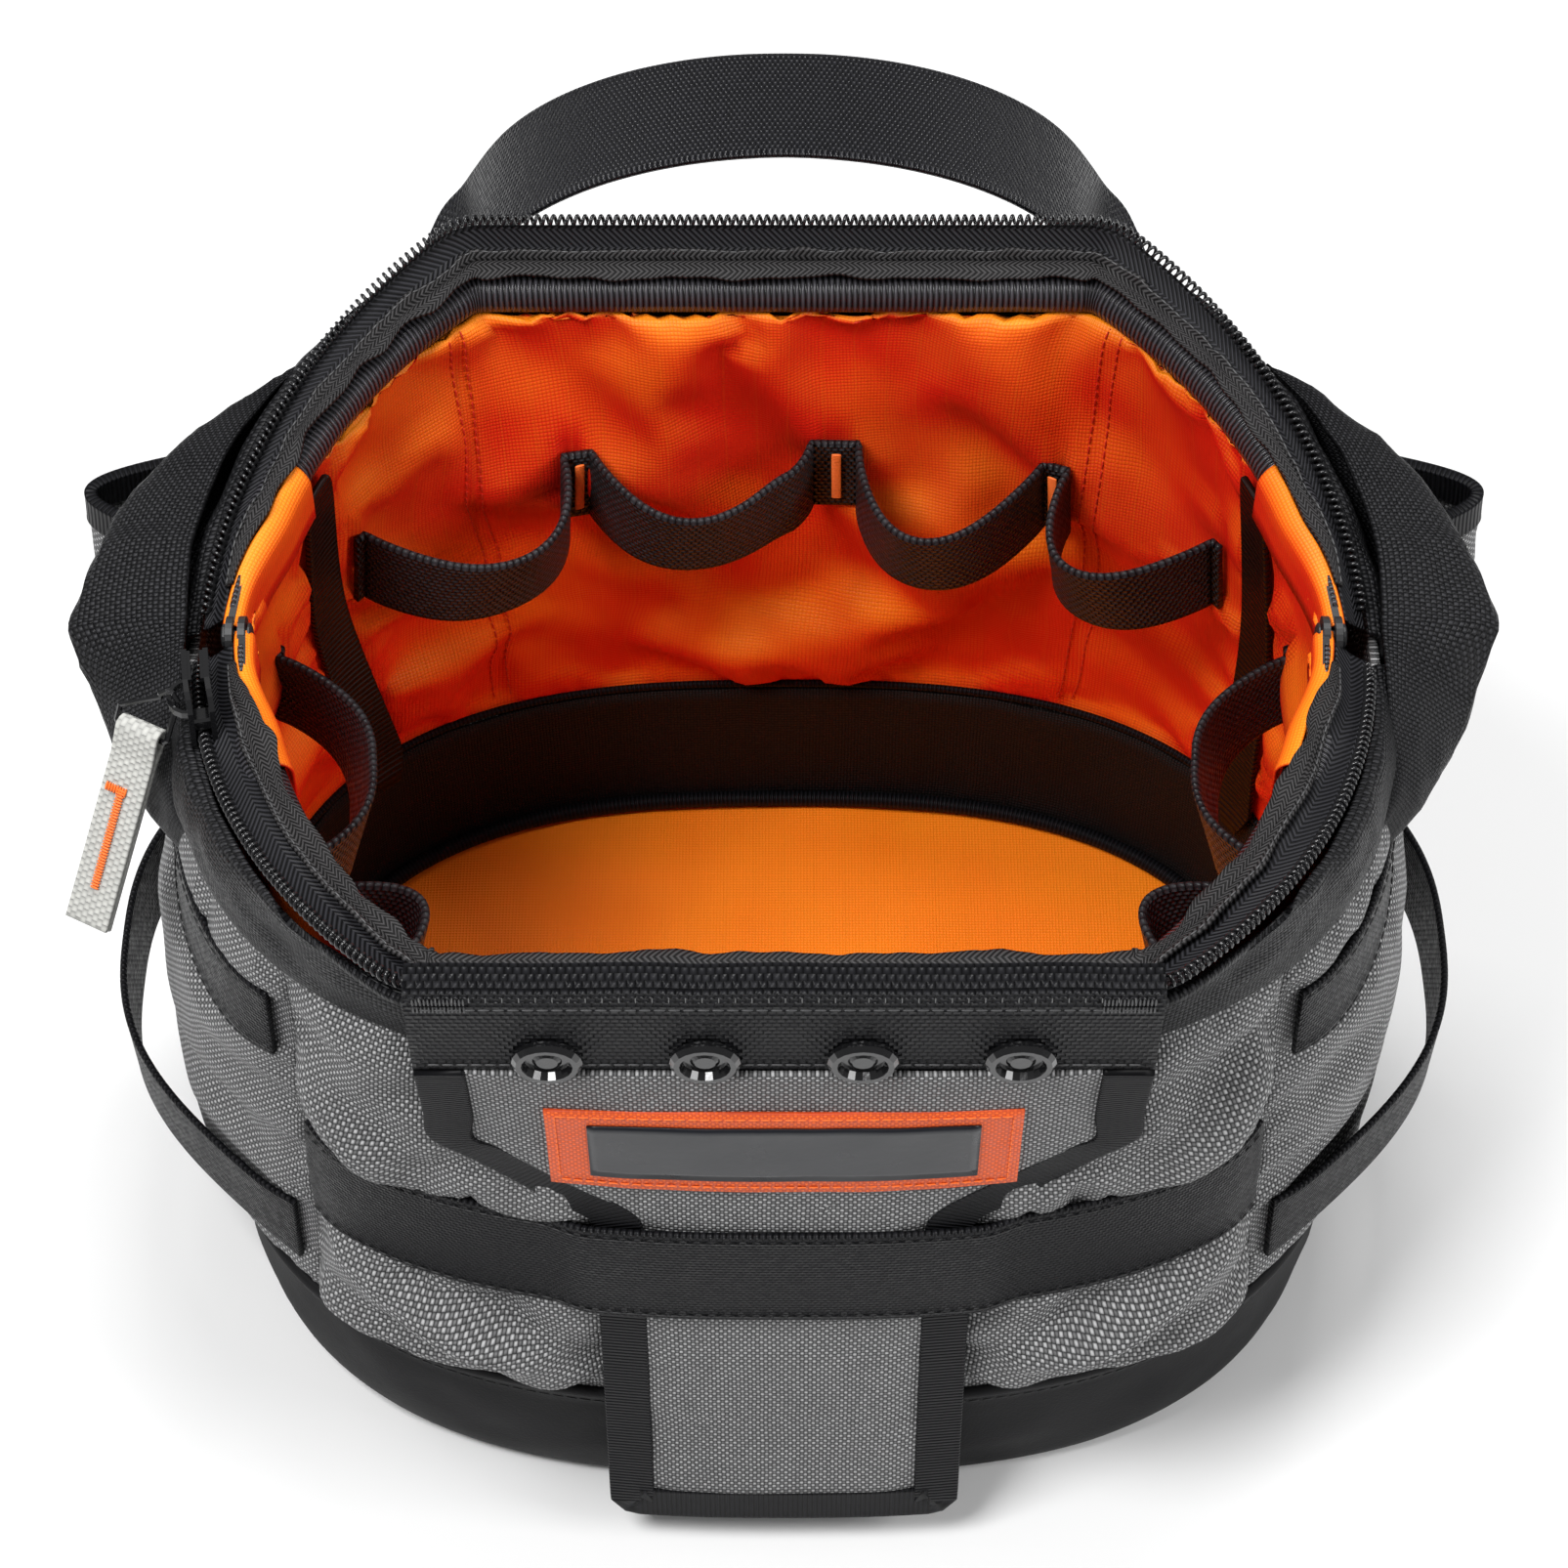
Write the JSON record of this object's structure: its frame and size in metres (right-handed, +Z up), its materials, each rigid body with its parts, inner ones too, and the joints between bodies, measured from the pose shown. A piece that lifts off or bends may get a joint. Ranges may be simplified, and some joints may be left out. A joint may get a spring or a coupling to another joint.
{
  "type": "tool pouch",
  "caption": "Round-cornered fabric tool pouch with a hinged zipper mouth held open by steel bows, inner webbing loops and a carrying handle.",
  "frame": {"origin": "middle of the base's underside, on the surface that the pouch stands on", "axes": "+X to the right of a viewer who faces the front, +Y towards the back wall with the handle, +Z up"},
  "size_m": [0.3418, 0.2768, 0.2483],
  "materials": {
    "base_rubber": "matt rubberised coating with a fine grain",
    "stiff_board": "plain",
    "orange_lining": "tightly woven coated polyester, slight sheen",
    "black_webbing": "ribbed polyester webbing",
    "black_fabric": "black ballistic weave",
    "grey_fabric": "grey ballistic basket weave",
    "stay_strip": "smooth dark strip",
    "steel": "plain",
    "zip_plastic": "satin nylon",
    "black_metal": "gloss black",
    "label_orange": "woven label, satin",
    "label_black": "blank film",
    "tag_webbing": "pale grey webbing",
    "tag_thread": "orange stitching"
  },
  "bodies": {
    "body": {"base_cup": "base_rubber", "base_board": "stiff_board", "floor_panel": "orange_lining", "floor_piping": "black_webbing", "inner_base_band": "black_fabric", "wall_front": "grey_fabric", "wall_back": "grey_fabric", "wall_left": "grey_fabric", "wall_right": "grey_fabric", "lining_front": "orange_lining", "lining_back": "orange_lining", "ear_gusset_left": "black_fabric", "ear_gusset_right": "black_fabric", "hinge_pin_left": "steel", "hinge_pin_right": "steel", "belt_webbing": "black_webbing", "flap_panel": "grey_fabric", "flap_binding": "black_webbing", "label_patch": "label_orange", "label_window": "label_black", "side_webbing_left": "black_webbing", "side_webbing_right": "black_webbing", "hammer_loop_left": "black_webbing", "hammer_loop_right": "black_webbing", "back_sleeve_left": "grey_fabric", "back_sleeve_right": "grey_fabric", "sleeve_binding_left": "black_webbing", "sleeve_binding_right": "black_webbing", "side_stay_left": "stay_strip", "side_stay_right": "stay_strip", "tool_loops_back": "black_webbing", "tool_loops_front": "black_webbing", "tool_loops_left": "black_webbing", "tool_loops_right": "black_webbing", "handle_anchor_left": "black_webbing", "handle_anchor_right": "black_webbing"},
    "front_bow": {"bow_front": "steel", "bow_channel_front": "black_webbing", "zip_tape_front": "black_webbing", "zip_teeth_front": "zip_plastic", "collar_front": "black_fabric", "facing_band_front": "black_fabric", "flap_head_webbing": "black_webbing", "snap_far_left": "black_metal", "snap_near_left": "black_metal", "snap_near_right": "black_metal", "snap_far_right": "black_metal"},
    "back_bow": {"bow_back": "steel", "bow_channel_back": "black_webbing", "zip_tape_back": "black_webbing", "zip_teeth_back": "zip_plastic", "collar_back": "black_fabric", "facing_band_back": "black_fabric"},
    "handle": {"handle_strap": "black_webbing"},
    "slider": {"zip_slider": "black_metal"},
    "puller": {"zip_puller": "black_metal"},
    "tag": {"pull_tag": "tag_webbing", "tag_stitch": "tag_thread"}
  },
  "joints": [
    {"name": "front_mouth", "type": "hinge", "parent": "body", "child": "front_bow", "pos_m": [0, 0, 0.208], "axis": [-1, 0, 0], "range_deg": [0, 77.2], "deforming": ["collar_front"]},
    {"name": "back_mouth", "type": "hinge", "parent": "body", "child": "back_bow", "pos_m": [0, 0, 0.208], "axis": [1, 0, 0], "range_deg": [0, 77.2], "deforming": ["collar_back"]},
    {"name": "handle_fold", "type": "hinge", "parent": "body", "child": "handle", "pos_m": [0, 0.1097, 0.165], "axis": [1, 0, 0], "range_deg": [-125, 0]},
    {"name": "zip_run", "type": "hinge", "parent": "front_bow", "child": "slider", "pos_m": [0.0227, 0.0053, 0.2068], "axis": [0, 0.2216, 0.9751], "range_deg": [0, 31.7]},
    {"name": "puller_swing", "type": "hinge", "parent": "slider", "child": "puller", "pos_m": [-0.13699, -0.02293, 0.21321], "axis": [-0.1815, 0.9589, -0.2179], "range_deg": [0, 75]},
    {"name": "tag_swing", "type": "hinge", "parent": "puller", "child": "tag", "pos_m": [-0.1439, -0.02596, 0.20552], "axis": [-0.8849, 0.4657, 0], "range_deg": [0, 85]}
  ]
}
